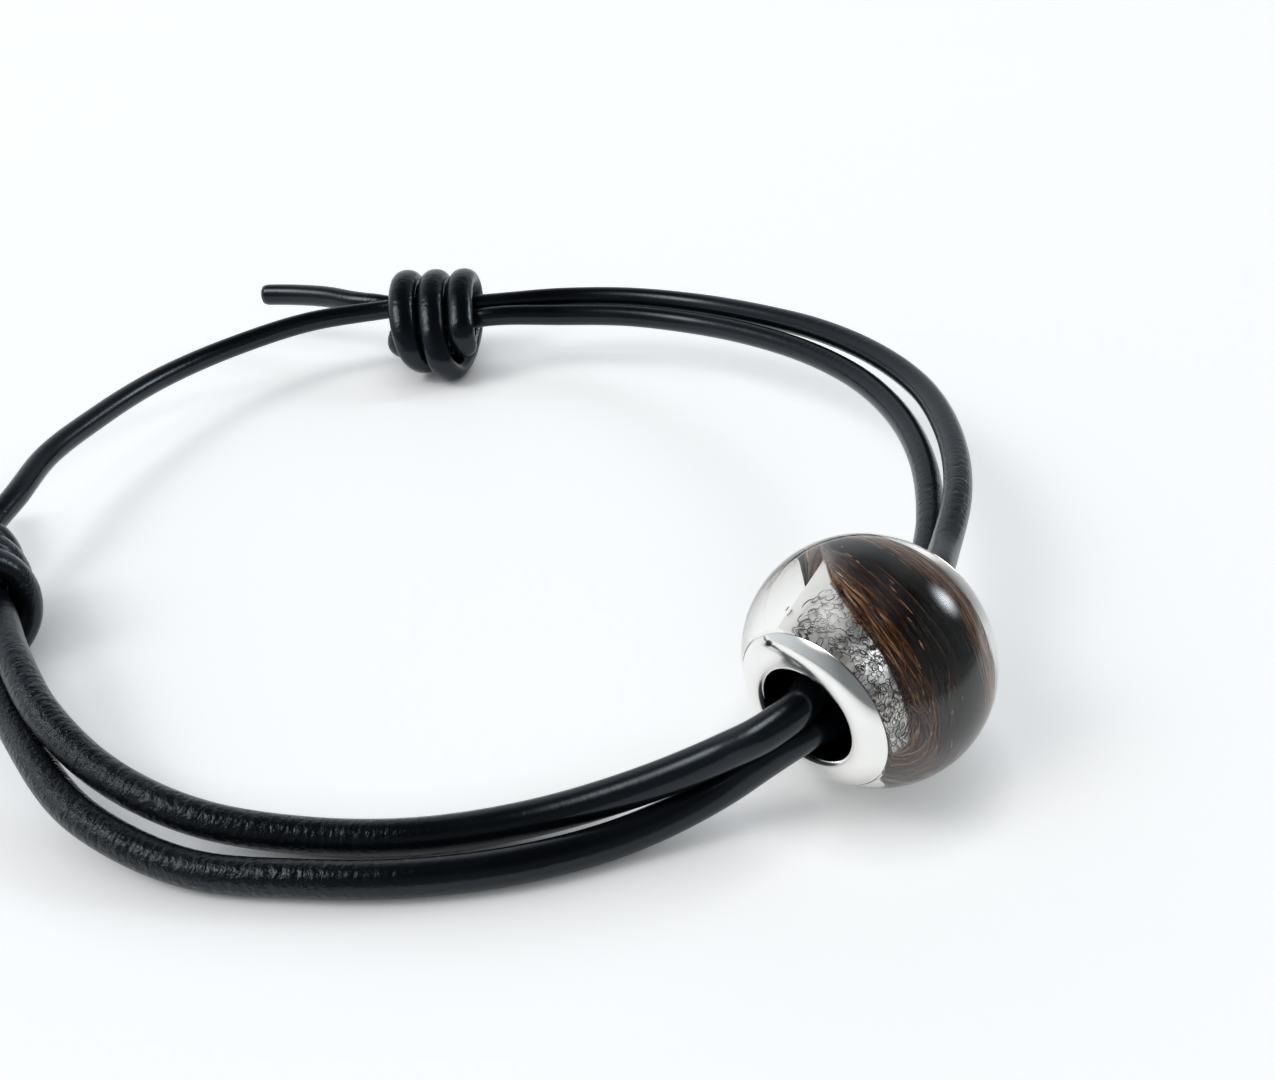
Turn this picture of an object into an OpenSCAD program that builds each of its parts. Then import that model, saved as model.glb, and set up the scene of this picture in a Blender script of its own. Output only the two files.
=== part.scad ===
// Adjustable leather bracelet with one bead, in millimetres.
// One round leather cord is tied into a loop with two sliding knots of three wraps each.
// Between the knots one side of the loop is single and the other side is doubled.
// A large-hole bead rides on the doubled side: a silver core with a flange at each end,
// a band of hair wound on the core, and clear resin over the hair.
// The bracelet lies on z = 0, +Z is up, and the origin is the middle of the wrist hollow.

/* [Cord] */
// Diameter of the round leather cord
cord_d = 2; // [1.8:0.05:2]
// Thickness on the single side of the loop, as a share of the diameter
single_size = 0.9; // [0.85:0.05:1]
// Thickness of the pair from the back knot to the bead, as a share of the diameter
back_pair_size = 0.95; // [0.85:0.05:1]
// Thickness of the pair from the bead to the left knot, as a share of the diameter
front_pair_size = 1.04; // [0.92:0.04:1.04]
// Number of flat sides of the modelled cord
cord_sides = 8; // [8:2:10]
// Greatest distance between two rings of the cord on an open stretch
run_ring_gap = 3; // [2.5:0.5:4]
// Greatest distance between two rings of the cord in a knot
knot_ring_gap = 1.1; // [1:0.1:1.3]

/* [Knots] */
// Distance between two wraps, along the knot
wrap_pitch = 2.65; // [2.6:0.05:2.75]
// How much a pressed wrap widens along the knot, as a share of its radius
wrap_spread = 0.35; // [0.2:0.05:0.35]
// How much a pressed wrap thins towards the knot's middle, as a share of its radius
wrap_squeeze = 0.14; // [0.14:0.02:0.2]
// How unevenly the wraps move along the knot while they go round
wrap_sway = 1.5; // [1.3:0.1:1.6]

/* [Bead] */
// Diameter of the bead at its middle
bead_d = 14.4; // [13.8:0.1:14.4]
// Length of the bead along its hole, over the two flanges
bead_w = 11.4; // [11.2:0.1:11.6]
// Diameter of the hole
bore_d = 5.8; // [5.6:0.1:6]
// Outer diameter of the core's tube under the hair
core_d = 7; // [6.8:0.1:7.2]
// Outer diameter of the two flanges
flange_d = 9.7; // [9.3:0.1:10]
// Height of a flange's dome over the end of the resin
flange_h = 0.75; // [0.6:0.05:0.8]
// Width of the hair band along the hole
hair_w = 5; // [4.4:0.2:5.6]
// How far the middle of the hair band lies towards the front end of the bead
hair_middle = -0.5; // [-0.6:0.1:0.6]
// Outer diameter of the hair band
hair_d = 10; // [9:0.1:10.5]
// Gap between two pieces of the bead
fit_gap = 0.05; // [0.03:0.01:0.1]

/* [Hidden] */

cord_r = cord_d / 2;
curve_fn = 96;

// The bead lies on the doubled side: middle of its hole, heading of its front end, and
// how far that end points down.
bead_at = [25.4, -28.2, 7.2];
bead_heading = 225;
bead_tilt = 5;
// The two strands make half a turn round each other in the hole, this far off its axis.
pair_off = 1.1;
pair_rows = [-6, -4, -2, 0, 2, 4, 6];
pair_turn = 30;

// Heights in the bead's own frame, z along the hole and x outward.
flange_z = bead_w / 2 - flange_h;
lip_r = bore_d / 2 + 0.3;
lip_drop = 0.35;
flange_run = flange_d / 2 - lip_r;
dome_r = (flange_run * flange_run + flange_h * flange_h) / (2 * flange_h);
resin_z = flange_z - fit_gap;
resin_run = bead_d / 2 - flange_d / 2;
resin_arc_r = (resin_run * resin_run + resin_z * resin_z) / (2 * resin_run);

// A knot's own frame: s runs along the knot towards the doubled side, o points out of the
// loop and u points up. A knot has its middle "at", the heading of s, and the side of o.
K_AT = 0;
K_HEADING = 1;
K_OUT = 2;
back_knot = [[-4.7, 30.2, 5.5], -4, 1];
left_knot = [[-31.2, -10.4, 4.75], -59, -1];

// The oval that the wraps follow: half width, half height, slant, middle [o, u], and the
// angle at which a wrap is on top.
O_A = 0;
O_B = 1;
O_SLANT = 2;
O_MID = 3;
O_TOP = 4;
back_oval = [4.5, 2.75, 26, [-0.5, -1.2], 50];
left_oval = [3.4, 3.3, 0, [1.45, -0.4], 90];
// Where the wraps of the back knot stand out: turn angle, width of the bulge, its height.
B_TURN = 0;
B_WIDTH = 1;
B_HEIGHT = 2;
back_bulges = [[150, 120, 0.1], [500, 120, 1.1]];
// First and last turn angle of the wraps, 0 on top of the first wrap.
back_turns = [-150, 780];
left_turns = [-120, 900];
turn_step = 30;
sway_phase = 130;

// Rows are [s, o, u] in the knot's own frame. The strand that is wound runs through the knot,
// turns back round everything in the wraps, then goes through the knot once more and leaves
// as a tail.
back_lead_in = [
    [5, -1.95, -0.4], [2.5, -1.65, -0.9], [0, -1.65, -0.9], [-1.7, -1.7, -1.05],
    [-2.7, -1.95, -1.7], [-3.1, -1.9, -2.8], [-2.95, -1.15, -3.75]
];
back_lead_out = [
    [3.15, -4.35, -0.9], [3.2, -4.3, -2.1], [2.8, -3.2, -2.8], [1.6, -1.5, -2.7], [0.8, -0.6, -2.4],
    [0, 0.2, -1.95], [-1.2, 1.05, -1.55], [-2.5, 1.4, -1.05], [-5.2, 1.85, -0.45]
];
back_through = [[4.5, 0, 0.1], [0, 0, 0], [-2.5, -0.05, 0], [-4.8, -0.1, -0.25]];
left_lead_in = [
    [5, 1.25, -1.85], [2.5, 1.1, -1.8], [0.3, 1.05, -1.75], [-1.2, 0.85, -1.75],
    [-2.4, 0.75, -2.15], [-3.1, 0.9, -2.75], [-3.2, 1.8, -3.4]
];
left_lead_out = [
    [5.5, 3, -3.3], [5.8, 3.9, -2.3], [5.4, 3.8, -1.2], [4.3, 3, -0.5],
    [2.8, 2.3, -0.15], [1, 2, 0], [-1.5, 1.95, 0], [-4.8, 2.2, -0.3]
];
left_through = [[5.8, 0, 0.2], [2.8, 0.05, -0.15], [0, 0.05, -0.1], [-2.5, 0.05, -0.15], [-4.8, -0.8, 0]];

// The open stretches, rows are [x, y, z]. Each list goes from the back knot to the bead,
// from the bead to the left knot, or from the left knot to the back knot.
outer_run = [
    [7, 30.6, 5.45], [13, 29.4, 5.65], [19, 26.5, 5.95], [24.5, 21.7, 6.6], [29, 16.5, 7.2],
    [32.5, 10.6, 7.6], [34.8, 3.5, 7.9], [35.2, -4, 8.1], [33.9, -12.5, 8.2], [31.8, -18.5, 8.1]
];
inner_run = [
    [7, 28.2, 4.8], [13, 26.9, 4.95], [18.5, 24.3, 5.1], [23.5, 20, 5.6], [27.5, 15.5, 5.9],
    [31, 9.6, 6.1], [33, 2.7, 6.2], [33.4, -4.5, 6.2], [32.4, -12, 6], [30.6, -18.5, 5.9]
];
upper_run = [
    [19.2, -33.2, 6.7], [17, -33, 5.25], [12, -33.1, 3.05], [6, -33.3, 1.4], [0, -33.75, 1.05],
    [-6, -33.4, 1.2], [-12, -32.4, 2], [-18, -29.4, 3.2], [-22, -25.8, 4.45], [-25.1, -21.3, 5.1]
];
lower_run = [
    [19.4, -32.6, 4.4], [17, -32.9, 2.7], [12, -34.5, 1.25], [6, -36.2, 1.05], [0, -36.8, 1.05],
    [-6, -36.4, 1.05], [-12, -35.3, 1.1], [-18.2, -32.2, 2.1], [-23.7, -25.9, 2.95], [-27.4, -20, 3.4]
];
single_run = [
    [-32.4, -0.6, 5.1], [-32, 4.6, 5.3], [-30.2, 11, 5.2], [-27, 18.5, 5], [-22, 25, 4.85],
    [-16, 29.2, 5]
];
back_tail = [[-12, 33.3, 4.95], [-15.5, 35.4, 4.85], [-19, 37, 4.6], [-22, 37.9, 4.4]];
left_tail = [[-35.6, -2.8, 4], [-36.7, 0.8, 3.6], [-38, 4.2, 3.2]];

function unit(v) = v / norm(v);
function reversed(list) = [for (i = [len(list) - 1:-1:0]) list[i]];

// The knot's axis s, and a point of the knot's own frame in the bracelet's frame.
function knot_axis(knot) = [cos(knot[K_HEADING]), sin(knot[K_HEADING]), 0];
function knot_outward(knot) = [-sin(knot[K_HEADING]), cos(knot[K_HEADING]), 0] * knot[K_OUT];
function knot_point(knot, p) =
    knot[K_AT] + p[0] * knot_axis(knot) + p[1] * knot_outward(knot) + [0, 0, p[2]];

// A smooth hump of height 1 at the middle, and the sum of all humps at a turn angle.
function hump(off, width) = abs(off) < width ? (1 + cos(180 * off / width)) / 2 : 0;
function bulge(turn, bulges) =
    len(bulges) == 0
        ? 0
        : [for (b = bulges) b[B_HEIGHT]] * [for (b = bulges) hump(turn - b[B_TURN], b[B_WIDTH])];

// One point of the wraps, as [s, o, u].
function wrap_point(turn, oval, bulges) =
    let (
        sway = wrap_sway * 180 / PI * (sin(turn - sway_phase) + sin(sway_phase)),
        s = wrap_pitch * ((turn + sway) / 360 - 1),
        wide = (oval[O_A] + bulge(turn, bulges)) * cos(turn + oval[O_TOP]),
        high = oval[O_B] * sin(turn + oval[O_TOP])
    )
    [
        s,
        oval[O_MID][0] + wide * cos(oval[O_SLANT]) - high * sin(oval[O_SLANT]),
        oval[O_MID][1] + wide * sin(oval[O_SLANT]) + high * cos(oval[O_SLANT])
    ];
function wraps(turns, oval, bulges) =
    [for (turn = [turns[0]:turn_step:turns[1]]) wrap_point(turn, oval, bulges)];

// Route rows are [point, press, size]: press is the knot's axis where the cord is pressed in a
// knot and zero on the open stretches, size is the thickness as a share of the diameter.
R_POINT = 0;
R_PRESS = 1;
R_SIZE = 2;
function open_rows(points, size = 1) = [for (p = points) [p, [0, 0, 0], size]];
function knot_rows(knot, points) = [for (p = points) [knot_point(knot, p), knot_axis(knot), 1]];

back_wound = knot_rows(
    back_knot, concat(back_lead_in, wraps(back_turns, back_oval, back_bulges), back_lead_out));
left_wound = knot_rows(
    left_knot, concat(left_lead_in, wraps(left_turns, left_oval, []), left_lead_out));

// The bead's axes, and the strand that enters the hole at the given angle from its top.
bead_axis = [
    cos(bead_heading) * cos(bead_tilt), sin(bead_heading) * cos(bead_tilt), -sin(bead_tilt)
];
bead_side = [-sin(bead_heading), cos(bead_heading), 0];
bead_up = cross(bead_axis, bead_side);
function strand_in_bead(start) = [
    for (i = [0:len(pair_rows) - 1])
        let (angle = start + pair_turn * i)
        bead_at + bead_axis * pair_rows[i] + pair_off * (bead_up * cos(angle) + bead_side * sin(angle))
];

// The whole cord, from the tail at the back knot to the tail at the left knot.
route = concat(
    open_rows(reversed(back_tail)),
    reversed(back_wound),
    open_rows(inner_run, back_pair_size),
    open_rows(strand_in_bead(180)),
    open_rows(upper_run, front_pair_size),
    knot_rows(left_knot, left_through),
    open_rows(single_run, single_size),
    reversed(knot_rows(back_knot, back_through)),
    open_rows(outer_run, back_pair_size),
    open_rows(strand_in_bead(0)),
    open_rows(lower_run, front_pair_size),
    left_wound,
    open_rows(left_tail)
);
stops = [for (row = route) row[R_POINT]];
presses = [for (row = route) row[R_PRESS]];
sizes = [for (row = route) row[R_SIZE]];
last = len(stops) - 1;

// A smooth curve through the stops: lengths of the chords and slopes at the stops.
chords = [for (i = [0:last - 1]) norm(stops[i + 1] - stops[i])];
inner_slopes = [
    for (i = [1:last - 1])
        ((stops[i + 1] - stops[i]) / chords[i] * chords[i - 1]
        + (stops[i] - stops[i - 1]) / chords[i - 1] * chords[i]) / (chords[i] + chords[i - 1])
];
slopes = concat(
    [2 * (stops[1] - stops[0]) / chords[0] - inner_slopes[0]],
    inner_slopes,
    [2 * (stops[last] - stops[last - 1]) / chords[last - 1] - inner_slopes[last - 2]]
);
function curve_point(i, t) =
    stops[i] * (2 * t * t * t - 3 * t * t + 1)
    + slopes[i] * chords[i] * (t * t * t - 2 * t * t + t)
    + stops[i + 1] * (3 * t * t - 2 * t * t * t)
    + slopes[i + 1] * chords[i] * (t * t * t - t * t);
function ring_count(i) =
    let (in_knot = norm(presses[i]) + norm(presses[i + 1]) > 0)
    max(1, round(chords[i] / (in_knot ? knot_ring_gap : run_ring_gap)));

// Rings of the cord, rows as those of the route.
rings = concat(
    [
        for (i = [0:last - 1])
            let (count = ring_count(i))
            for (j = [0:count - 1])
                let (t = j / count)
                [
                    curve_point(i, t),
                    presses[i] * (1 - t) + presses[i + 1] * t,
                    sizes[i] * (1 - t) + sizes[i + 1] * t
                ]
    ],
    [[stops[last], presses[last], sizes[last]]]
);
ring_last = len(rings) - 1;
along = [
    for (i = [0:ring_last])
        unit(rings[min(i + 1, ring_last)][R_POINT] - rings[max(i - 1, 0)][R_POINT])
];
// A direction across the cord that turns with it and never twists.
function across(v, t) = unit(v - (v * t) * t);
sides = [
    for (i = 0, side = across([0, 0, 1], along[0]);
        i <= ring_last;
        i = i + 1, side = i <= ring_last ? across(side, along[i]) : side)
        side
];
// A pressed ring is thinner across the knot and wider along it.
function ring_point(i, k) =
    let (
        turn = 360 * k / cord_sides,
        out = sides[i] * cos(turn) + cross(along[i], sides[i]) * sin(turn),
        pressed = rings[i][R_PRESS],
        press = pressed - (pressed * along[i]) * along[i]
    )
    rings[i][R_POINT] + cord_r * rings[i][R_SIZE] * (
        out * (1 - wrap_squeeze * norm(pressed)) + press * (press * out) * wrap_spread);

module cord() {
    ring_points = [for (i = [0:ring_last]) for (k = [0:cord_sides - 1]) ring_point(i, k)];
    wall = [
        for (i = [0:ring_last - 1])
            for (k = [0:cord_sides - 1])
                let (
                    a = i * cord_sides + k,
                    b = i * cord_sides + (k + 1) % cord_sides
                )
                for (face = [[a, a + cord_sides, b], [b, a + cord_sides, b + cord_sides]]) face
    ];
    start_cap = [for (k = [0:cord_sides - 1]) k];
    end_cap = [for (k = [cord_sides - 1:-1:0]) ring_last * cord_sides + k];
    color([0.07, 0.07, 0.09])
        polyhedron(points = ring_points, faces = concat(wall, [start_cap], [end_cap]));
}

// Puts a shape that is turned about z on the bead's place.
module on_bead() {
    translate(bead_at)
        rotate([0, 0, bead_heading])
            rotate([0, 90 + bead_tilt, 0])
                children();
}

// Half of the core's outline: tube, lip and domed flange.
module core_outline() {
    polygon([
        [bore_d / 2, 0], [core_d / 2, 0], [core_d / 2, flange_z], [lip_r, bead_w / 2],
        [bore_d / 2, bead_w / 2 - lip_drop]
    ]);
    intersection() {
        translate([lip_r, bead_w / 2 - dome_r])
            circle(r = dome_r, $fn = curve_fn);
        translate([lip_r, flange_z])
            square([flange_run, flange_h]);
    }
}

module bead_core() {
    color([0.85, 0.85, 0.87])
        on_bead()
            rotate_extrude($fn = curve_fn) {
                core_outline();
                mirror([0, 1])
                    core_outline();
            }
}

// Clear resin: rounded outside, with a groove on its inner wall that holds the hair.
module bead_body() {
    color([0.75, 0.62, 0.5, 0.5])
        on_bead()
            rotate_extrude($fn = curve_fn)
                difference() {
                    intersection() {
                        translate([bead_d / 2 - resin_arc_r, 0])
                            circle(r = resin_arc_r, $fn = curve_fn);
                        translate([core_d / 2 + fit_gap, -resin_z])
                            square([bead_d, 2 * resin_z]);
                    }
                    translate([0, hair_middle - hair_w / 2 - fit_gap])
                        square([hair_d / 2 + fit_gap, hair_w + 2 * fit_gap]);
                }
}

// The hair wound on the core, as one ring.
module hair_band() {
    color([0.2, 0.1, 0.06])
        on_bead()
            rotate_extrude($fn = curve_fn)
                translate([core_d / 2 + fit_gap, hair_middle - hair_w / 2])
                    square([hair_d / 2 - core_d / 2 - fit_gap, hair_w]);
}

cord();
bead_core();
bead_body();
hair_band();
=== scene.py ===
"""Leather cord bracelet with one bead, lying on a white surface. Lengths are in metres."""
import math
import random

import bpy
import numpy as np
from mathutils import Matrix, Vector


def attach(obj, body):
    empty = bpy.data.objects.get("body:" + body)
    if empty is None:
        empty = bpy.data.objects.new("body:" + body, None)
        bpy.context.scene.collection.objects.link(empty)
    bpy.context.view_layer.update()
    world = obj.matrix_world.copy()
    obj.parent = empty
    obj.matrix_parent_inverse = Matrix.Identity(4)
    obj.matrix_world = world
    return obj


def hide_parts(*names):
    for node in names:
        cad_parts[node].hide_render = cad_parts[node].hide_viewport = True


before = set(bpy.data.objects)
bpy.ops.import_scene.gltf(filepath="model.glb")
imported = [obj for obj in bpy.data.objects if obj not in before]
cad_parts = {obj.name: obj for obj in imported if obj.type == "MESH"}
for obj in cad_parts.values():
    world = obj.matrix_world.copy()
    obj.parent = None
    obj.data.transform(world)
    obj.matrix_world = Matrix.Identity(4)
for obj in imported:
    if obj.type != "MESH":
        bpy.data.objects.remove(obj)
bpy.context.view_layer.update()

MM = 0.001
UP = np.array([0.0, 0.0, 1.0])


# Camera: in front of the loop, looking along +Y and down on it.

# The photo's width and the focal length are in pixels, the sensor's width in millimetres.
PHOTO_W = 1275
FOCAL_PX = 1360
SENSOR_W = 36.0
CAMERA_AT = (0.013, -0.088, 0.054)
CAMERA_PITCH = math.radians(32.5)
CAMERA_ROLL = math.radians(3.0)


def add_camera():
    data = bpy.data.cameras.new("camera")
    data.sensor_fit = "HORIZONTAL"
    data.sensor_width = SENSOR_W
    data.lens = SENSOR_W * FOCAL_PX / PHOTO_W
    data.clip_start = 0.001
    data.clip_end = 10.0
    forward = Vector((0, math.cos(CAMERA_PITCH), -math.sin(CAMERA_PITCH)))
    right = Vector((1, 0, 0))
    down = forward.cross(right)
    rolled_right = math.cos(CAMERA_ROLL) * right + math.sin(CAMERA_ROLL) * down
    rolled_up = math.sin(CAMERA_ROLL) * right - math.cos(CAMERA_ROLL) * down
    turn = Matrix((rolled_right, rolled_up, -forward)).transposed()
    camera = bpy.data.objects.new("camera", data)
    camera.matrix_world = Matrix.Translation(CAMERA_AT) @ turn.to_4x4()
    bpy.context.scene.collection.objects.link(camera)
    bpy.context.scene.camera = camera


add_camera()


# The cord's route, the same as in the part's source.

CORD_R = 0.001
# Thickness of each side of the loop, as a share of the cord's diameter.
SINGLE_SIZE = 0.9
BACK_PAIR_SIZE = 0.95
FRONT_PAIR_SIZE = 1.04
# In a knot the pressed cord is wider along the knot and thinner across it, as shares of its own
# thickness. Its wraps advance unevenly, fastest at the turn angle of the sway's phase.
WRAP_PITCH = 0.00265
WRAP_SPREAD = 0.35
WRAP_SQUEEZE = 0.14
WRAP_SWAY = 1.5
SWAY_PHASE = 130
TURN_STEP = 30

# The bead and the two strands in its hole, which turn about each other from row to row.
BEAD_AT = np.array([0.0254, -0.0282, 0.0072])
BEAD_HEADING = math.radians(225)
BEAD_TILT = math.radians(5)
PAIR_OFF = 0.0011
PAIR_ROWS = (-0.006, -0.004, -0.002, 0, 0.002, 0.004, 0.006)
PAIR_TURN = 30

# A knot: its middle, the heading of its axis in degrees, and the side that is outward.
BACK_KNOT = (np.array([-0.0047, 0.0302, 0.0055]), -4, 1)
LEFT_KNOT = (np.array([-0.0312, -0.0104, 0.00475]), -59, -1)
# The wraps' oval: half width, half height, slant, middle outward and up, angle on top.
BACK_OVAL = (0.0045, 0.00275, 26, -0.0005, -0.0012, 50)
LEFT_OVAL = (0.0034, 0.0033, 0, 0.00145, -0.0004, 90)
# Bulges of the back knot's wraps: turn angle, width of the bulge, height.
BACK_BULGES = ((150, 120, 0.0001), (500, 120, 0.0011))
BACK_TURNS = (-150, 780)
LEFT_TURNS = (-120, 900)

# Rows are along the knot, outward, up.
BACK_LEAD_IN = (
    (0.005, -0.00195, -0.0004), (0.0025, -0.00165, -0.0009), (0, -0.00165, -0.0009),
    (-0.0017, -0.0017, -0.00105), (-0.0027, -0.00195, -0.0017), (-0.0031, -0.0019, -0.0028),
    (-0.00295, -0.00115, -0.00375),
)
BACK_LEAD_OUT = (
    (0.00315, -0.00435, -0.0009), (0.0032, -0.0043, -0.0021), (0.0028, -0.0032, -0.0028),
    (0.0016, -0.0015, -0.0027), (0.0008, -0.0006, -0.0024), (0, 0.0002, -0.00195),
    (-0.0012, 0.00105, -0.00155), (-0.0025, 0.0014, -0.00105), (-0.0052, 0.00185, -0.00045),
)
BACK_THROUGH = (
    (0.0045, 0, 0.0001), (0, 0, 0), (-0.0025, -0.00005, 0), (-0.0048, -0.0001, -0.00025),
)
LEFT_LEAD_IN = (
    (0.005, 0.00125, -0.00185), (0.0025, 0.0011, -0.0018), (0.0003, 0.00105, -0.00175),
    (-0.0012, 0.00085, -0.00175), (-0.0024, 0.00075, -0.00215), (-0.0031, 0.0009, -0.00275),
    (-0.0032, 0.0018, -0.0034),
)
LEFT_LEAD_OUT = (
    (0.0055, 0.003, -0.0033), (0.0058, 0.0039, -0.0023), (0.0054, 0.0038, -0.0012),
    (0.0043, 0.003, -0.0005), (0.0028, 0.0023, -0.00015), (0.001, 0.002, 0), (-0.0015, 0.00195, 0),
    (-0.0048, 0.0022, -0.0003),
)
LEFT_THROUGH = (
    (0.0058, 0, 0.0002), (0.0028, 0.00005, -0.00015), (0, 0.00005, -0.0001),
    (-0.0025, 0.00005, -0.00015), (-0.0048, -0.0008, 0),
)

# The open stretches, rows are x, y, z.
OUTER_RUN = (
    (0.007, 0.0306, 0.00545), (0.013, 0.0294, 0.00565), (0.019, 0.0265, 0.00595),
    (0.0245, 0.0217, 0.0066), (0.029, 0.0165, 0.0072), (0.0325, 0.0106, 0.0076),
    (0.0348, 0.0035, 0.0079), (0.0352, -0.004, 0.0081), (0.0339, -0.0125, 0.0082),
    (0.0318, -0.0185, 0.0081),
)
INNER_RUN = (
    (0.007, 0.0282, 0.0048), (0.013, 0.0269, 0.00495), (0.0185, 0.0243, 0.0051),
    (0.0235, 0.02, 0.0056), (0.0275, 0.0155, 0.0059), (0.031, 0.0096, 0.0061),
    (0.033, 0.0027, 0.0062), (0.0334, -0.0045, 0.0062), (0.0324, -0.012, 0.006),
    (0.0306, -0.0185, 0.0059),
)
UPPER_RUN = (
    (0.0192, -0.0332, 0.0067), (0.017, -0.033, 0.00525), (0.012, -0.0331, 0.00305),
    (0.006, -0.0333, 0.0014),
    (0, -0.03375, 0.00105), (-0.006, -0.0334, 0.0012), (-0.012, -0.0324, 0.002),
    (-0.018, -0.0294, 0.0032), (-0.022, -0.0258, 0.00445), (-0.0251, -0.0213, 0.0051),
)
LOWER_RUN = (
    (0.0194, -0.0326, 0.0044), (0.017, -0.0329, 0.0027), (0.012, -0.0345, 0.00125),
    (0.006, -0.0362, 0.00105),
    (0, -0.0368, 0.00105), (-0.006, -0.0364, 0.00105), (-0.012, -0.0353, 0.0011),
    (-0.0182, -0.0322, 0.0021), (-0.0237, -0.0259, 0.00295), (-0.0274, -0.02, 0.0034),
)
SINGLE_RUN = (
    (-0.0324, -0.0006, 0.0051), (-0.032, 0.0046, 0.0053), (-0.0302, 0.011, 0.0052),
    (-0.027, 0.0185, 0.005), (-0.022, 0.025, 0.00485), (-0.016, 0.0292, 0.005),
)
BACK_TAIL = (
    (-0.012, 0.0333, 0.00495), (-0.0155, 0.0354, 0.00485), (-0.019, 0.037, 0.0046),
    (-0.022, 0.0379, 0.0044),
)
LEFT_TAIL = (
    (-0.0356, -0.0028, 0.004), (-0.0367, 0.0008, 0.0036), (-0.038, 0.0042, 0.0032),
)


def knot_axis(knot):
    heading = math.radians(knot[1])
    return np.array([math.cos(heading), math.sin(heading), 0])


def knot_point(knot, row):
    at, heading, out = knot
    heading = math.radians(heading)
    outward = np.array([-math.sin(heading), math.cos(heading), 0]) * out
    return at + row[0] * knot_axis(knot) + row[1] * outward + row[2] * UP


def hump(off, width):
    """A smooth hump of height 1 at the middle."""
    return (1 + math.cos(math.pi * off / width)) / 2 if abs(off) < width else 0.0


def wrap_point(turn, oval, bulges):
    half_w, half_h, slant, mid_out, mid_up, top = oval
    sway = WRAP_SWAY * math.degrees(
        math.sin(math.radians(turn - SWAY_PHASE)) + math.sin(math.radians(SWAY_PHASE)))
    along = WRAP_PITCH * ((turn + sway) / 360 - 1)
    half_w += sum(height * hump(turn - at, width) for at, width, height in bulges)
    wide = half_w * math.cos(math.radians(turn + top))
    high = half_h * math.sin(math.radians(turn + top))
    c, s = math.cos(math.radians(slant)), math.sin(math.radians(slant))
    return (along, mid_out + wide * c - high * s, mid_up + wide * s + high * c)


def wound(knot, lead_in, turns, oval, bulges, lead_out):
    wraps = [wrap_point(t, oval, bulges) for t in range(turns[0], turns[1] + 1, TURN_STEP)]
    return in_knot(knot, list(lead_in) + wraps + list(lead_out))


def in_knot(knot, rows):
    return [(knot_point(knot, row), (*knot_axis(knot), 1)) for row in rows]


def in_open(rows, size=1):
    return [(np.array(row, float), (0, 0, 0, size)) for row in rows]


def bead_axes():
    axis = np.array([
        math.cos(BEAD_HEADING) * math.cos(BEAD_TILT),
        math.sin(BEAD_HEADING) * math.cos(BEAD_TILT),
        -math.sin(BEAD_TILT),
    ])
    side = np.array([-math.sin(BEAD_HEADING), math.cos(BEAD_HEADING), 0])
    return axis, side, np.cross(axis, side)


def bead_point(angle, radius, along):
    """A point in the bead's frame: along the hole, and at an angle from the top round it."""
    axis, side, up = bead_axes()
    return BEAD_AT + radius * (up * math.cos(angle) + side * math.sin(angle)) + axis * along


def strand_in_bead(start):
    """The strand that enters the hole at this angle from the top, in degrees."""
    turns = [math.radians(start + PAIR_TURN * i) for i in range(len(PAIR_ROWS))]
    return in_open([bead_point(turn, PAIR_OFF, along) for turn, along in zip(turns, PAIR_ROWS)])


def cord_route():
    """Points of the whole cord, and at each the axis of a knot that presses it and its size."""
    back_wound = wound(BACK_KNOT, BACK_LEAD_IN, BACK_TURNS, BACK_OVAL, BACK_BULGES, BACK_LEAD_OUT)
    left_wound = wound(LEFT_KNOT, LEFT_LEAD_IN, LEFT_TURNS, LEFT_OVAL, (), LEFT_LEAD_OUT)
    rows = (
        in_open(BACK_TAIL[::-1]) + back_wound[::-1] + in_open(INNER_RUN, BACK_PAIR_SIZE)
        + strand_in_bead(180) + in_open(UPPER_RUN, FRONT_PAIR_SIZE)
        + in_knot(LEFT_KNOT, LEFT_THROUGH) + in_open(SINGLE_RUN, SINGLE_SIZE)
        + in_knot(BACK_KNOT, BACK_THROUGH)[::-1] + in_open(OUTER_RUN, BACK_PAIR_SIZE)
        + strand_in_bead(0) + in_open(LOWER_RUN, FRONT_PAIR_SIZE) + left_wound
        + in_open(LEFT_TAIL)
    )
    return np.array([row[0] for row in rows]), np.array([row[1] for row in rows])


def smooth_curve(points, forms, gap):
    """A smooth curve through the points, with a step about every gap, and the form at each."""
    chord = np.linalg.norm(np.diff(points, axis=0), axis=1)
    rate = np.diff(points, axis=0) / chord[:, None]
    slope = np.empty_like(points)
    slope[1:-1] = (rate[1:] * chord[:-1, None] + rate[:-1] * chord[1:, None]) / (
        chord[1:] + chord[:-1])[:, None]
    slope[0] = 2 * rate[0] - slope[1]
    slope[-1] = 2 * rate[-1] - slope[-2]
    line, formed = [], []
    for i, length in enumerate(chord):
        count = max(1, round(length / gap))
        for t in np.arange(count) / count:
            line.append(
                points[i] * (2 * t**3 - 3 * t**2 + 1) + slope[i] * length * (t**3 - 2 * t**2 + t)
                + points[i + 1] * (3 * t**2 - 2 * t**3) + slope[i + 1] * length * (t**3 - t**2))
            formed.append(forms[i] * (1 - t) + forms[i + 1] * t)
    line.append(points[-1])
    formed.append(forms[-1])
    return np.array(line), np.array(formed)


def unit(v):
    return v / np.linalg.norm(v)


def carried_sides(along):
    """A direction across the line at each point that turns with it and never twists."""
    side = unit(UP - (UP @ along[0]) * along[0])
    sides = []
    for direction in along:
        side = unit(side - (side @ direction) * direction)
        sides.append(side)
    return np.array(sides)


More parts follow.
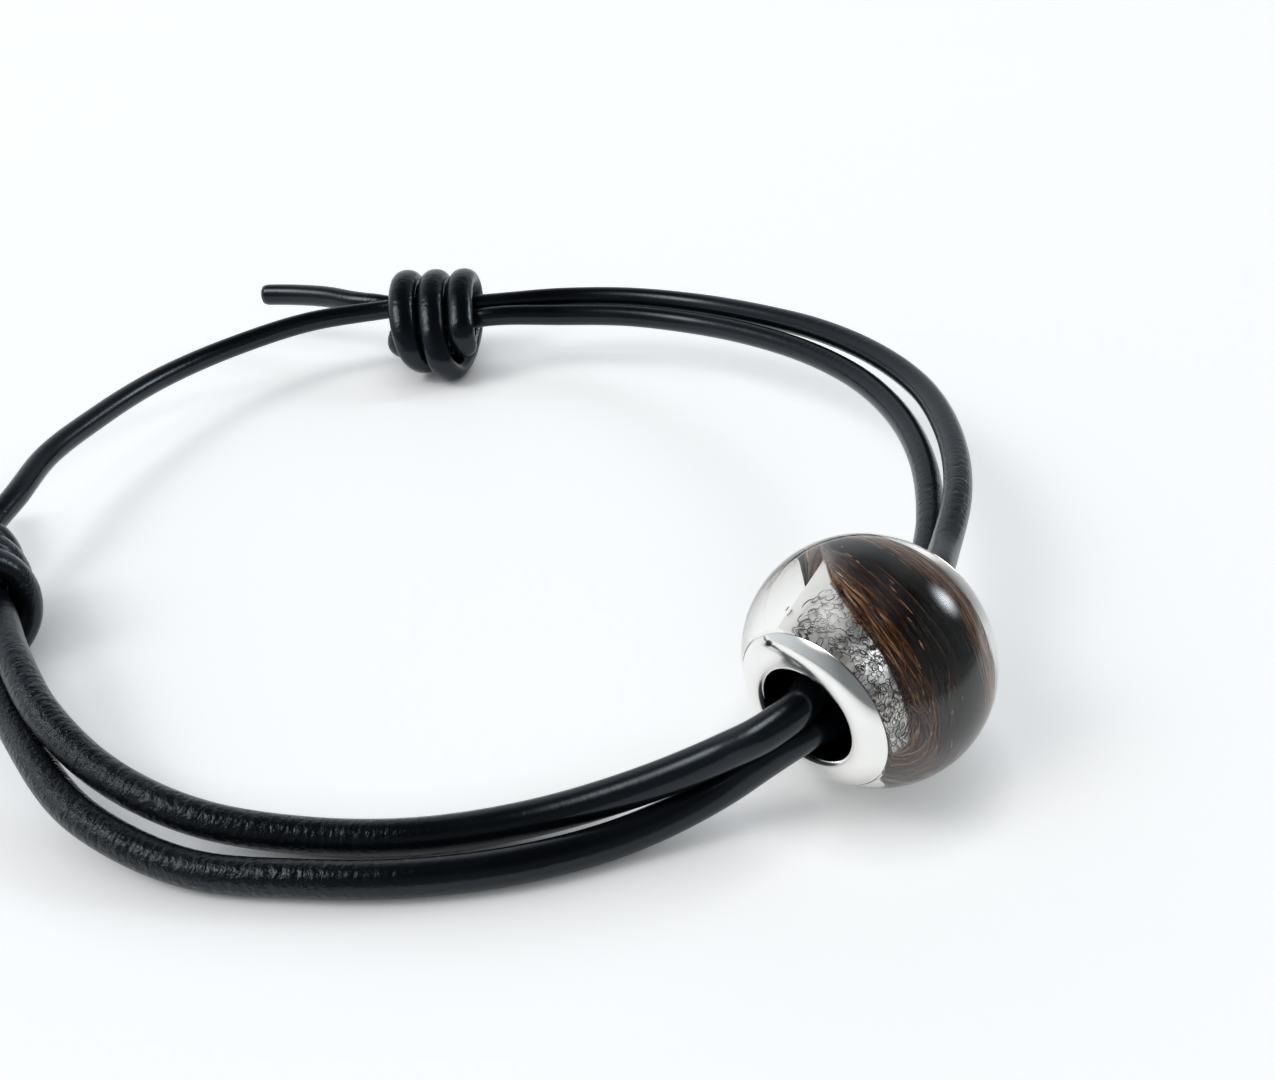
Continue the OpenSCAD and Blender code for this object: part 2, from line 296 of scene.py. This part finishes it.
# Small helpers for meshes and nodes.

def mesh_object(name, points, faces, body=None):
    """A smooth mesh that rides on a body, or stands on its own."""
    mesh = bpy.data.meshes.new(name)
    mesh.from_pydata([tuple(p) for p in points], [], faces)
    mesh.update()
    mesh.polygons.foreach_set("use_smooth", [True] * len(mesh.polygons))
    piece = bpy.data.objects.new(name, mesh)
    bpy.context.scene.collection.objects.link(piece)
    if body:
        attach(piece, body)
    return piece


def add_vectors(piece, name, vectors):
    """Stores one vector for each point of the mesh, for its material to read."""
    layer = piece.data.attributes.new(name, "FLOAT_VECTOR", "POINT")
    layer.data.foreach_set("vector", np.asarray(vectors, np.float32).ravel())


def add_numbers(piece, name, numbers):
    """Stores one number for each point of the mesh, for its material to read."""
    layer = piece.data.attributes.new(name, "FLOAT", "POINT")
    layer.data.foreach_set("value", np.asarray(numbers, np.float32).ravel())


class Nodes:
    """A short way to write the nodes of a material or a world. Values may be sockets or constants."""

    def __init__(self, owner):
        owner.use_nodes = True
        self.owner = owner
        self.tree = owner.node_tree
        main = ("Principled BSDF", "Background")
        self.shader = next(self.tree.nodes[name] for name in main if name in self.tree.nodes)

    def add(self, kind, inputs=None, **settings):
        node = self.tree.nodes.new(kind)
        for key, value in settings.items():
            setattr(node, key, value)
        for key, value in (inputs or {}).items():
            self.put(node.inputs[key], value)
        return node

    def put(self, socket, value):
        if isinstance(value, bpy.types.NodeSocket):
            self.tree.links.new(value, socket)
        else:
            socket.default_value = value

    def set(self, **values):
        """Sets inputs of the main shader, with _ for each space in their names."""
        for key, value in values.items():
            self.put(self.shader.inputs[key.replace("_", " ")], value)

    def place(self):
        return self.add("ShaderNodeTexCoord").outputs["Object"]

    def attribute(self, name, output="Fac"):
        return self.add("ShaderNodeAttribute", attribute_name=name).outputs[output]

    def math(self, operation, first, second):
        return self.add("ShaderNodeMath", {0: first, 1: second}, operation=operation).outputs[0]

    def vector(self, operation, first, second):
        node = self.add("ShaderNodeVectorMath", {0: first, 1: second}, operation=operation)
        return node.outputs["Value" if operation == "DOT_PRODUCT" else "Vector"]

    def ramp(self, factor, stops):
        """A colour for each factor; a stop is (place, colour)."""
        node = self.add("ShaderNodeValToRGB", {"Fac": factor})
        while len(node.color_ramp.elements) < len(stops):
            node.color_ramp.elements.new(0.5)
        for element, (place, colour) in zip(node.color_ramp.elements, stops):
            element.position = place
            element.color = (*colour, 1)
        return node.outputs["Color"]

    def grey(self, factor, low, high, start=0.0, end=1.0):
        """Turns a factor between start and end into a number between low and high."""
        return self.add(
            "ShaderNodeMapRange",
            {"Value": factor, "From Min": start, "From Max": end, "To Min": low, "To Max": high},
        ).outputs["Result"]

    def mixed_colour(self, factor, first, second):
        return self.add(
            "ShaderNodeMix", {0: factor, 6: first, 7: second}, data_type="RGBA").outputs[2]

    def mixed_number(self, factor, first, second):
        return self.add("ShaderNodeMix", {0: factor, 2: first, 3: second}).outputs[0]

    def noise(self, vector, scale, detail=3.0, roughness=0.55, distortion=0.0):
        return self.add(
            "ShaderNodeTexNoise",
            {"Vector": vector, "Scale": scale, "Detail": detail, "Roughness": roughness,
             "Distortion": distortion},
        ).outputs["Fac"]

    def stretched(self, vector, scale):
        return self.add("ShaderNodeMapping", {"Vector": vector, "Scale": scale}).outputs["Vector"]

    def bump(self, height, distance, strength):
        inputs = {"Height": height, "Distance": distance, "Strength": strength}
        return self.add("ShaderNodeBump", inputs).outputs["Normal"]


def material_nodes(name):
    return Nodes(bpy.data.materials.new(name))


# Cord.

RING_GAP = 0.00034
CORD_SIDES = 20
# Length over which a cut end rounds off, and how much thinner it gets, as a share of that.
CAP_ROUND = 0.00012
CAP_DROP = 0.6
# Strength of the grain where the leather lies smooth. Then the places where bending has creased it,
# each with its reach and the strength it adds.
SMOOTH_GRAIN = 0.07
CREASES = (
    ((-0.02, -0.029, 0.003), 0.011, 0.9), ((-0.006, -0.035, 0.001), 0.007, 0.4),
    ((0.034, -0.012, 0.008), 0.006, 0.4), ((0.03, 0.014, 0.007), 0.008, 0.15),
    ((-0.0047, 0.0302, 0.0055), 0.006, 0.35), ((-0.0312, -0.0104, 0.00475), 0.006, 0.35),
)


def leather_material():
    """Black finished leather: fine grain, crinkles across the cord, and a soft gloss."""
    m = material_nodes("leather")
    straight = m.attribute("straight_cord", "Vector")
    grain = m.noise(m.stretched(straight, (1, 1, 0.8)), 4200, 4.0, 0.6)
    crinkle = m.noise(m.stretched(straight, (0.6, 0.6, 1.3)), 1500, 2.0, 0.5, 0.8)
    pores = m.add(
        "ShaderNodeTexVoronoi", {"Vector": straight, "Scale": 2600}, feature="SMOOTH_F1",
    ).outputs["Distance"]
    patches = m.noise(straight, 160, 2.0)
    height = m.math("ADD", m.grey(crinkle, 0, 1, 0.3, 0.7), m.grey(grain, 0, 0.6, 0.3, 0.7))
    height = m.math("ADD", height, m.grey(pores, 0, 0.5, 0.0, 0.6))
    m.set(
        Base_Color=m.ramp(patches, ((0.3, (0.003, 0.0042, 0.006)), (0.7, (0.005, 0.0068, 0.0095)))),
        Roughness=m.grey(patches, 0.16, 0.26, 0.3, 0.7),
        Normal=m.bump(height, 0.00006, m.attribute("creased")),
        Specular_IOR_Level=0.4,
        Specular_Tint=(0.8, 0.91, 1.0, 1),
    )
    return m.owner


def raw_leather_material():
    """The undyed fibres at a cut end."""
    m = material_nodes("raw_leather")
    fibres = m.noise(m.place(), 5200, 4.0, 0.65)
    m.set(
        Base_Color=m.ramp(fibres, ((0.35, (0.035, 0.026, 0.02)), (0.7, (0.16, 0.12, 0.09)))),
        Roughness=0.85,
        Normal=m.bump(fibres, 0.00005, 0.8),
    )
    return m.owner


def creased_by_place(line):
    """Strength of the grain at each point of the cord."""
    creased = np.full(len(line), SMOOTH_GRAIN)
    for place, reach, amount in CREASES:
        away = np.linalg.norm(line - np.array(place), axis=1)
        creased += amount * np.exp(-(away / reach) ** 2)
    return creased


def cord_rings(line, along, arc, pressed, radius):
    """Rings of points along the cord, and the same rings on a straight cord for the grain."""
    sides = carried_sides(along)
    other = np.cross(along, sides)
    angles = 2 * np.pi * np.arange(CORD_SIDES) / CORD_SIDES
    out = (sides[:, None] * np.cos(angles)[None, :, None]
           + other[:, None] * np.sin(angles)[None, :, None])
    amount = np.linalg.norm(pressed, axis=1)
    across = pressed - np.einsum("ij,ij->i", pressed, along)[:, None] * along
    spread = np.einsum("ikj,ij->ik", out, across)[..., None] * across[:, None] * WRAP_SPREAD
    shape = out * (1 - WRAP_SQUEEZE * amount)[:, None, None] + spread
    rings = line[:, None] + shape * radius[:, None, None]
    straight = np.empty_like(rings)
    straight[..., 0] = CORD_R * np.cos(angles)[None]
    straight[..., 1] = CORD_R * np.sin(angles)[None]
    straight[..., 2] = arc[:, None]
    return rings, straight


def make_cord():
    points, forms = cord_route()
    line, formed = smooth_curve(points, forms, RING_GAP)
    pressed, size = formed[:, :3], formed[:, 3]
    along = np.gradient(line, axis=0)
    along /= np.linalg.norm(along, axis=1)[:, None]
    arc = np.concatenate([[0], np.cumsum(np.linalg.norm(np.diff(line, axis=0), axis=1))])
    radius = CORD_R * size
    edge = np.minimum(arc, arc[-1] - arc)
    near = edge < CAP_ROUND
    radius[near] -= CAP_ROUND * CAP_DROP * (1 - edge[near] / CAP_ROUND)
    rings, straight = cord_rings(line, along, arc, pressed, radius)
    n = CORD_SIDES
    faces = [
        (i * n + k, i * n + (k + 1) % n, (i + 1) * n + (k + 1) % n, (i + 1) * n + k)
        for i in range(len(line) - 1) for k in range(n)
    ]
    faces.append(tuple(reversed(range(n))))
    faces.append(tuple((len(line) - 1) * n + k for k in range(n)))
    cord = mesh_object("leather_cord", rings.reshape(-1, 3), faces, "cord")
    add_vectors(cord, "straight_cord", straight.reshape(-1, 3))
    add_numbers(cord, "creased", np.repeat(creased_by_place(line), n))
    cord.data.materials.append(leather_material())
    cord.data.materials.append(raw_leather_material())
    for cap in cord.data.polygons[-2:]:
        cap.material_index = 1
        cap.use_smooth = False
    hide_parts("cord")


make_cord()


# Bead, in its own frame: z along the hole, angles from the top towards the side the camera sees.

# Diameters and widths of its parts, the gap between them, and the rounded lip of the hole.
BEAD_D = 0.0144
BEAD_W = 0.0114
BORE_D = 0.0058
CORE_D = 0.007
FLANGE_D = 0.0097
FLANGE_H = 0.00075
HAIR_D = 0.01
FIT_GAP = 0.00005
LIP_R = BORE_D / 2 + 0.0003
LIP_DROP = 0.00035
LIP_STEPS = 8
DOME_STEPS = 20
RESIN_STEPS = 56
FLANGE_Z = BEAD_W / 2 - FLANGE_H
# A row of the core this far under the flange keeps the corner's shading short.
CORNER = 0.0004
BEAD_SIDES = 160
# A row this near a border between two finishes counts as on it.
NEAR = 0.0001


def turned(name, profile, body):
    """A closed profile of (radius, z) rows, turned about the bead's hole."""
    count = len(profile)
    points = []
    for i in range(BEAD_SIDES):
        angle = math.tau * i / BEAD_SIDES
        points += [bead_point(angle, r, z) for r, z in profile]
    faces = []
    for i in range(BEAD_SIDES):
        for k in range(count):
            a, b = i * count + k, i * count + (k + 1) % count
            c, d = (i + 1) % BEAD_SIDES * count + (k + 1) % count, (i + 1) % BEAD_SIDES * count + k
            faces.append((a, d, c, b))
    return mesh_object(name, points, faces, body)


def arc_rows(middle_r, middle_z, radius, start, end, steps):
    """Rows on an arc, with angles in degrees from +r towards +z."""
    angles = [math.radians(start + (end - start) * i / steps) for i in range(steps + 1)]
    return [(middle_r + radius * math.cos(a), middle_z + radius * math.sin(a)) for a in angles]


def mirrored(rows):
    return rows + [(r, -z) for r, z in reversed(rows)]


def silver_material():
    """Polished silver with faint scratches, satin under the resin, and nearly black and dull in the
    hole.
    """
    m = material_nodes("silver")
    place = m.place()
    haze = m.noise(place, 500, 3.0)
    scratches = m.noise(m.stretched(place, (1, 1, 7)), 2600, 3.0, 0.6)
    dark_bore = m.attribute("dark_bore")
    polished = m.ramp(haze, ((0.3, (0.86, 0.85, 0.82)), (0.7, (0.93, 0.925, 0.905))))
    uneven = m.grey(haze, 0.07, 0.13, 0.3, 0.7)
    dull = m.math("MAXIMUM", m.attribute("satin"), dark_bore)
    m.set(
        Base_Color=m.mixed_colour(dark_bore, polished, (0.012, 0.011, 0.01, 1)),
        Metallic=1.0,
        Roughness=m.mixed_number(dull, uneven, 0.4),
        Normal=m.bump(scratches, 0.0000015, 0.5),
    )
    return m.owner


def make_core():
    run = FLANGE_D / 2 - LIP_R
    dome_r = (run * run + FLANGE_H * FLANGE_H) / (2 * FLANGE_H)
    dome_end = math.degrees(math.asin((dome_r - FLANGE_H) / dome_r))
    lip_z, lip_run = BEAD_W / 2 - LIP_DROP, LIP_R - BORE_D / 2
    lip = arc_rows(LIP_R, 0, lip_run, 180, 90, LIP_STEPS)
    lip = [(r, lip_z + z * LIP_DROP / lip_run) for r, z in lip]
    dome = arc_rows(LIP_R, BEAD_W / 2 - dome_r, dome_r, 90, dome_end, DOME_STEPS)
    rim = [(FLANGE_D / 2, FLANGE_Z), (CORE_D / 2, FLANGE_Z), (CORE_D / 2, FLANGE_Z - CORNER)]
    profile = mirrored(lip + dome[1:] + rim)
    core = turned("silver_core", profile, "bead")
    # Rows on the wall of the hole, which the material makes nearly black and dull.
    dark_bore = [float(r < BORE_D / 2 + NEAR and abs(z) <= lip_z + NEAR) for r, z in profile]
    satin = [float(r == CORE_D / 2 and abs(z) < FLANGE_Z - NEAR) for r, z in profile]
    add_numbers(core, "dark_bore", dark_bore * BEAD_SIDES)
    add_numbers(core, "satin", satin * BEAD_SIDES)
    core.data.materials.append(silver_material())
    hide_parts("bead_core")


def resin_material():
    """Clear cast resin, slightly warm, that lets light through to what it shades."""
    m = material_nodes("resin")
    ripple = m.noise(m.place(), 260, 2.0)
    m.set(
        Base_Color=(0.985, 0.975, 0.955, 1),
        Roughness=0.0,
        IOR=1.5,
        Transmission_Weight=1.0,
        Normal=m.bump(ripple, 0.000004, 0.3),
    )
    clear = m.add("ShaderNodeBsdfTransparent", {"Color": (0.93, 0.9, 0.86, 1)})
    light = m.add("ShaderNodeLightPath")
    mix = m.add("ShaderNodeMixShader", {
        0: light.outputs["Is Shadow Ray"], 1: m.shader.outputs[0], 2: clear.outputs[0]})
    m.put(m.tree.nodes["Material Output"].inputs["Surface"], mix.outputs[0])
    return m.owner


def make_resin():
    end = FLANGE_Z - FIT_GAP
    run = BEAD_D / 2 - FLANGE_D / 2
    arc_r = (run * run + end * end) / (2 * run)
    sweep = math.degrees(math.asin(end / arc_r))
    outer = arc_rows(BEAD_D / 2 - arc_r, 0, arc_r, sweep, -sweep, RESIN_STEPS)
    inner = [(CORE_D / 2 - FIT_GAP, -end), (CORE_D / 2 - FIT_GAP, end)]
    resin = turned("clear_resin", outer + inner, "bead")
    resin.data.materials.append(resin_material())
    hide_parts("bead_body")


# Hair: a dark ring, and strands wound over it as joined tubes. The band lies askew on the core, and
# a share across it runs from -1 at its back edge to 1 at its front edge.

# Rows are an angle in degrees and the edge's place along the hole in millimetres.
HAIR_FRONT_EDGE = (
    (-180, 0.1), (-150, -0.9), (-110, -2.5), (-75, -2.6), (-50, -1.5), (-30, -0.4), (-10, 0.45),
    (10, 1.1), (30, 1.5), (55, 1.7), (80, 1.7), (105, 1.35), (130, 0.65), (155, 0.25), (180, 0.1),
)
HAIR_BACK_EDGE = (
    (-180, -3.3), (-110, -4), (-75, -3.9), (-40, -3.2), (10, -3.3), (50, -3.2), (85, -2.9),
    (125, -2.8), (180, -3.3),
)
# The band has its full thickness where it is at least this wide.
THICK_HAIR_W = 0.0032
# The ring lies this far under the hair's surface.
RING_SINK = 0.00008
RING_STEPS = 40
# Colour by tone: black, brown, reddish brown, tan and beige.
HAIR_STOPS = (
    (0.0, (0.0012, 0.0008, 0.0006)), (0.25, (0.004, 0.0016, 0.0008)),
    (0.45, (0.034, 0.011, 0.0035)), (0.65, (0.14, 0.05, 0.016)), (0.8, (0.34, 0.16, 0.06)),
    (1.0, (0.5, 0.4, 0.29)),
)
DARK_TONE = 0.05


def hair_edge(edge, angle):
    turn = (math.degrees(angle) + 180) % 360 - 180
    angles, places = zip(*edge)
    return float(np.interp(turn, angles, places)) * MM


def hair_place(angle, share):
    """Place along the hole at a share of the band's width."""
    front, back = hair_edge(HAIR_FRONT_EDGE, angle), hair_edge(HAIR_BACK_EDGE, angle)
    return (front + back) / 2 + share * (front - back) / 2


def hair_radius(angle, share):
    """Radius of the hair's surface, full in the middle, thin at the edges and where it is narrow."""
    width = hair_edge(HAIR_FRONT_EDGE, angle) - hair_edge(HAIR_BACK_EDGE, angle)
    crown = (1 - min(0.999, abs(share)) ** 2) * min(1, width / THICK_HAIR_W)
    return CORE_D / 2 + (HAIR_D - CORE_D) / 2 * crown


def hair_tone(share):
    """Nearly black in the middle, brown towards the front edge and pale at the back edge."""
    if share > 0:
        return DARK_TONE + 0.38 * share ** 1.6
    return DARK_TONE + 0.75 * min(1, max(0, (-share - 0.4) / 0.4))


def hair_material(name, roughness):
    m = material_nodes(name)
    winding = m.stretched(m.attribute("winding", "Vector"), (0.12, 1, 1))
    streaks = m.noise(winding, 9000, 3.0, 0.6)
    tone = m.math("ADD", m.attribute("tone"), m.grey(streaks, -0.2, 0.2, 0.3, 0.7))
    m.set(
        Base_Color=m.ramp(tone, HAIR_STOPS),
        Roughness=roughness,
        Specular_IOR_Level=0.5,
        Normal=m.bump(streaks, 0.00002, 0.6),
    )
    return m.owner


def make_hair_ring():
    shares = np.linspace(-1, 1, RING_STEPS + 1)
    count = len(shares)
    points, winding, tones, faces = [], [], [], []
    for i in range(BEAD_SIDES):
        angle = math.tau * i / BEAD_SIDES
        for share in shares:
            place, r = hair_place(angle, share), hair_radius(angle, share) - RING_SINK
            points.append(bead_point(angle, r, place))
            winding.append((angle * r, place, r))
            tones.append(hair_tone(share))
    for i in range(BEAD_SIDES):
        for k in range(count - 1):
            a, d = i * count + k, (i + 1) % BEAD_SIDES * count + k
            faces.append((a, a + 1, d + 1, d))
    ring = mesh_object("hair_ring", points, faces, "bead")
    add_vectors(ring, "winding", winding)
    add_numbers(ring, "tone", tones)
    ring.data.materials.append(hair_material("hair_dark", 0.4))
    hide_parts("hair_band")


# Strands are thin tubes that taper over their last steps.

STRAND_SIDES = 3
TAPER_STEPS = 3
TIP_SHARE = 0.25
STRAND_STEP = math.radians(7)
FEWEST_STEPS = 8
# How far the streaks' place moves from point to point, along a strand and round it.
STREAK_ALONG = 0.0004
STREAK_ROUND = 0.0001


def strand_tubes(name, strands):
    """Joins strands into one mesh; a strand is (points, radius, tone)."""
    n = STRAND_SIDES
    points, winding, tones, faces = [], [], [], []
    for line, radius, tone in strands:
        line = np.array(line)
        along = np.gradient(line, axis=0)
        along /= np.linalg.norm(along, axis=1)[:, None]
        across = carried_sides(along)
        other = np.cross(along, across)
        start, steps = len(points), len(line)
        for i in range(steps):
            taper = min(1.0, TIP_SHARE + (1 - TIP_SHARE) * min(i, steps - 1 - i) / TAPER_STEPS)
            for k in range(n):
                angle = math.tau * k / n
                points.append(line[i] + radius * taper * (
                    across[i] * math.cos(angle) + other[i] * math.sin(angle)))
                winding.append((i * STREAK_ALONG, k * STREAK_ROUND, tone))
                tones.append(tone)
        for i in range(steps - 1):
            for k in range(n):
                a, b = start + i * n + k, start + i * n + (k + 1) % n
                faces.append((a, b, b + n, a + n))
        faces.append(tuple(start + k for k in reversed(range(n))))
        faces.append(tuple(start + (steps - 1) * n + k for k in range(n)))
    piece = mesh_object(name, points, faces, "bead")
    add_vectors(piece, "winding", winding)
    add_numbers(piece, "tone", tones)
    return piece


# Kinds of strands: how many, lift over the hair's surface, radius, angle of the start and of the
# sweep in degrees, and drift across the band. Each value is a number or a pair of limits.
DARK_KIND = (600, (-0.00002, 0.00006), (0.00002, 0.00005), (0, 360), (60, 330), (-0.12, 0.12))
TAN_KIND = (190, (0, 0.0001), (0.00002, 0.00004), (0, 360), (40, 200), (-0.2, 0.2))
BROWN_KIND = (300, (0, 0.0001), (0.00002, 0.00008), (0, 360), (15, 110), (-0.2, 0.2))
LOOSE_KIND = (18, 0.00005, (0.000015, 0.000028), (85, 135), (20, 70), (-0.6, 0.1))
# Short pale strands are painted glints on the hair.
PAINTED_GLINT_KIND = (40, 0.0001, (0.00002, 0.00005), (0, 360), (2, 10), 0)


def drawn(rng, value):
    return rng.uniform(*value) if isinstance(value, tuple) else value


def wound_strands(rng, kind, share_of, tone_of):
    """Strands of a kind that follow the winding. The functions give each its share and its tone."""
    count, lifts, radii, starts, sweeps, drifts = kind
    strands = []
    for _ in range(count):
        share = share_of()
        lift, radius = drawn(rng, lifts), drawn(rng, radii)
        tone = tone_of(share)
        start, sweep = math.radians(drawn(rng, starts)), math.radians(drawn(rng, sweeps))
        drift = drawn(rng, drifts)
        phase, wobble = rng.uniform(0, 6.28), rng.uniform(0.01, 0.04)
        steps = max(FEWEST_STEPS, int(sweep / STRAND_STEP))
        line = []
        for i in range(steps + 1):
            angle = start + sweep * i / steps
            at = share + drift * (i / steps - 0.5) + wobble * math.sin(3 * angle + phase)
            line.append(bead_point(angle, hair_radius(angle, at) + lift, hair_place(angle, at)))
        strands.append((line, radius, tone))
    return strands


def make_hair_strands():
    """Dark strands all over; tan at the back edge, brown towards the front edge, a few loose, and
    short pale ones as painted glints.
    """
    rng = random.Random(11)
    dark = wound_strands(
        rng, DARK_KIND, lambda: rng.uniform(-1, 1),
        lambda share: hair_tone(share) + rng.uniform(-0.12, 0.12))
    amber = wound_strands(
        rng, TAN_KIND, lambda: -1.03 + abs(rng.gauss(0, 0.28)), lambda share: rng.uniform(0.6, 1))
    amber += wound_strands(
        rng, BROWN_KIND, lambda: 1.05 - abs(rng.gauss(0, 0.32)),
        lambda share: rng.uniform(0.32, 0.54) + 0.42 * max(0, share) ** 2 * rng.random())
    amber += wound_strands(
        rng, LOOSE_KIND, lambda: rng.uniform(1.05, 1.9), lambda share: rng.uniform(0.3, 0.7))
    # Painted highlights: short pale strands for the hair's glints.
    amber += wound_strands(
        rng, PAINTED_GLINT_KIND, lambda: rng.uniform(0.2, 0.85), lambda share: rng.uniform(0.8, 1))
    material = hair_material("hair_strands", 0.25)
    strand_tubes("hair_dark_strands", dark).data.materials.append(material)
    strand_tubes("hair_amber_strands", amber).data.materials.append(material)


# Short curls on the bare silver: thick between these angles and up to this place along the hole, and
# one in so many anywhere on it.
CURL_ANGLES = (math.radians(-32), math.radians(108))
CURL_END = 0.0037
CURL_COUNT = 420
ONE_STRAY_IN = 10
STRAY_END = FLANGE_Z - 0.0003
CURL_STEPS = 12


def make_curls():
    rng = random.Random(5)
    curls = []
    for i in range(CURL_COUNT):
        thick = i % ONE_STRAY_IN > 0
        angle = rng.uniform(*CURL_ANGLES) if thick else rng.uniform(0, math.tau)
        front = hair_edge(HAIR_FRONT_EDGE, angle)
        place = front + ((CURL_END if thick else STRAY_END) - front) * rng.random()
        size = rng.uniform(0.00015, 0.0005)
        turn, bend = rng.uniform(0, 6.28), rng.uniform(1.2, 3.2) * rng.choice((-1, 1))
        radius = CORE_D / 2 + rng.uniform(0.00003, 0.00025)
        line = []
        x = y = 0.0
        for _ in range(CURL_STEPS):
            turn += bend / 6
            x += size / 5 * math.cos(turn)
            y += size / 5 * math.sin(turn)
            line.append(bead_point(angle + x / radius, radius, place + y))
        curls.append((line, rng.uniform(0.000014, 0.00003), rng.uniform(0.2, 0.6)))
    strand_tubes("hair_curls", curls).data.materials.append(hair_material("hair_fine", 0.3))


make_core()
make_resin()
make_hair_ring()
make_hair_strands()
make_curls()


# Stage: white surface, and pale surroundings with two soft lights.

FLOOR_REACH = 1.2
# The surface glows a little, as a bright backdrop does; where the bracelet lies this close over it
# the glow is dimmed, a painted contact shadow.
FLOOR_GLOW = 0.5
PAINTED_CONTACT_REACH = 0.0045
# Painted shade: the surface's colour and glow fade to dark in front and at the right. Rows: places on
# the edge of its bright part, the direction into the bright part, and how far it fades outside.
FLOOR_PAINTED_SHADE_EDGES = (
    ((0, -0.052, 0), (0, 1, 0), 0.08),
    ((0.06, -0.055, 0), (-0.9, 0.44, 0), 0.08),
)


def make_floor():
    r = FLOOR_REACH
    floor = mesh_object("floor", [(-r, -r, 0), (r, -r, 0), (r, r, 0), (-r, r, 0)], [(0, 1, 2, 3)])
    m = material_nodes("white_surface")
    place = m.place()
    cloud = m.noise(place, 9, 2.0)
    white = m.ramp(cloud, ((0.3, (0.85, 0.86, 0.865)), (0.7, (0.87, 0.875, 0.88))))
    # Painted shade: the share of full colour and glow, falling to none in front and at the right.
    painted_light_share = 1.0
    for spot, inward, fade in FLOOR_PAINTED_SHADE_EDGES:
        depth = m.vector("DOT_PRODUCT", m.vector("SUBTRACT", place, spot), inward)
        painted_light_share = m.math("MULTIPLY", painted_light_share, m.grey(depth, 0, 1, -fade, 0))
    # Painted contact shadow: the glow drops where the bracelet lies close over the surface.
    clear = m.add("ShaderNodeAmbientOcclusion", {"Distance": PAINTED_CONTACT_REACH}, samples=2).outputs["AO"]
    m.set(
        Base_Color=m.mixed_colour(painted_light_share, (0.36, 0.36, 0.37, 1), white),
        Roughness=0.5,
        Specular_IOR_Level=0.25,
        Emission_Color=(0.97, 0.99, 1.0, 1),
        Emission_Strength=m.math("MULTIPLY", painted_light_share, m.grey(clear, 0, FLOOR_GLOW, 0.1, 1)),
    )
    floor.data.materials.append(m.owner)


# Light of the surroundings by height, 0 level and 1 straight up.
SKY_HEIGHTS = (
    (0.0, (0.80, 0.85, 0.88)), (0.5, (0.74, 0.79, 0.84)), (0.72, (0.28, 0.3, 0.33)),
    (0.85, (0.1, 0.1, 0.11)), (1.0, (0.07, 0.07, 0.08)),
)
# And its share by direction: 0 away from the bright side, 1 towards it.
SKY_SIDES = ((0.0, 0.22), (0.4, 0.24), (0.68, 0.62), (1.0, 1.0))
BRIGHT_SIDE = (-0.6, 0.8, 0)
# Soft lights: azimuth with 0 at +Y and 90 at +X, elevation, reach in degrees, strength, colour.
SOFT_LIGHTS = (
    (-100, 48, 32, 9.0, (1.0, 0.99, 0.97)),
    (69, 28, 19, 14.0, (0.88, 0.94, 1.0)),
)
# The larger this is, the more a light gathers in its middle.
LIGHT_FADE = 6


def direction_of(azimuth, elevation):
    azimuth, elevation = math.radians(azimuth), math.radians(elevation)
    return (math.sin(azimuth) * math.cos(elevation), math.cos(azimuth) * math.cos(elevation),
            math.sin(elevation))


def make_world():
    """Pale surroundings, bright and low at the back and left, dark overhead, with two soft lights."""
    w = Nodes(bpy.data.worlds.new("surround"))
    direction = w.add("ShaderNodeTexCoord").outputs["Generated"]
    height = w.vector("DOT_PRODUCT", direction, tuple(UP))
    side = w.grey(w.vector("DOT_PRODUCT", direction, BRIGHT_SIDE), 0, 1, -1, 1)
    shares = [(place, (share,) * 3) for place, share in SKY_SIDES]
    light = w.vector("MULTIPLY", w.ramp(height, SKY_HEIGHTS), w.ramp(side, shares))
    for azimuth, elevation, reach, strength, colour in SOFT_LIGHTS:
        near = w.vector("DOT_PRODUCT", direction, direction_of(azimuth, elevation))
        patch = w.math("POWER", w.grey(near, 0, 1, math.cos(math.radians(reach)), 1), LIGHT_FADE)
        glow = w.vector("MULTIPLY", patch, tuple(strength * c for c in colour))
        light = w.vector("ADD", light, glow)
    w.set(Color=light)
    bpy.context.scene.world = w.owner
    bpy.context.scene.view_settings.view_transform = "Standard"


make_floor()
make_world()
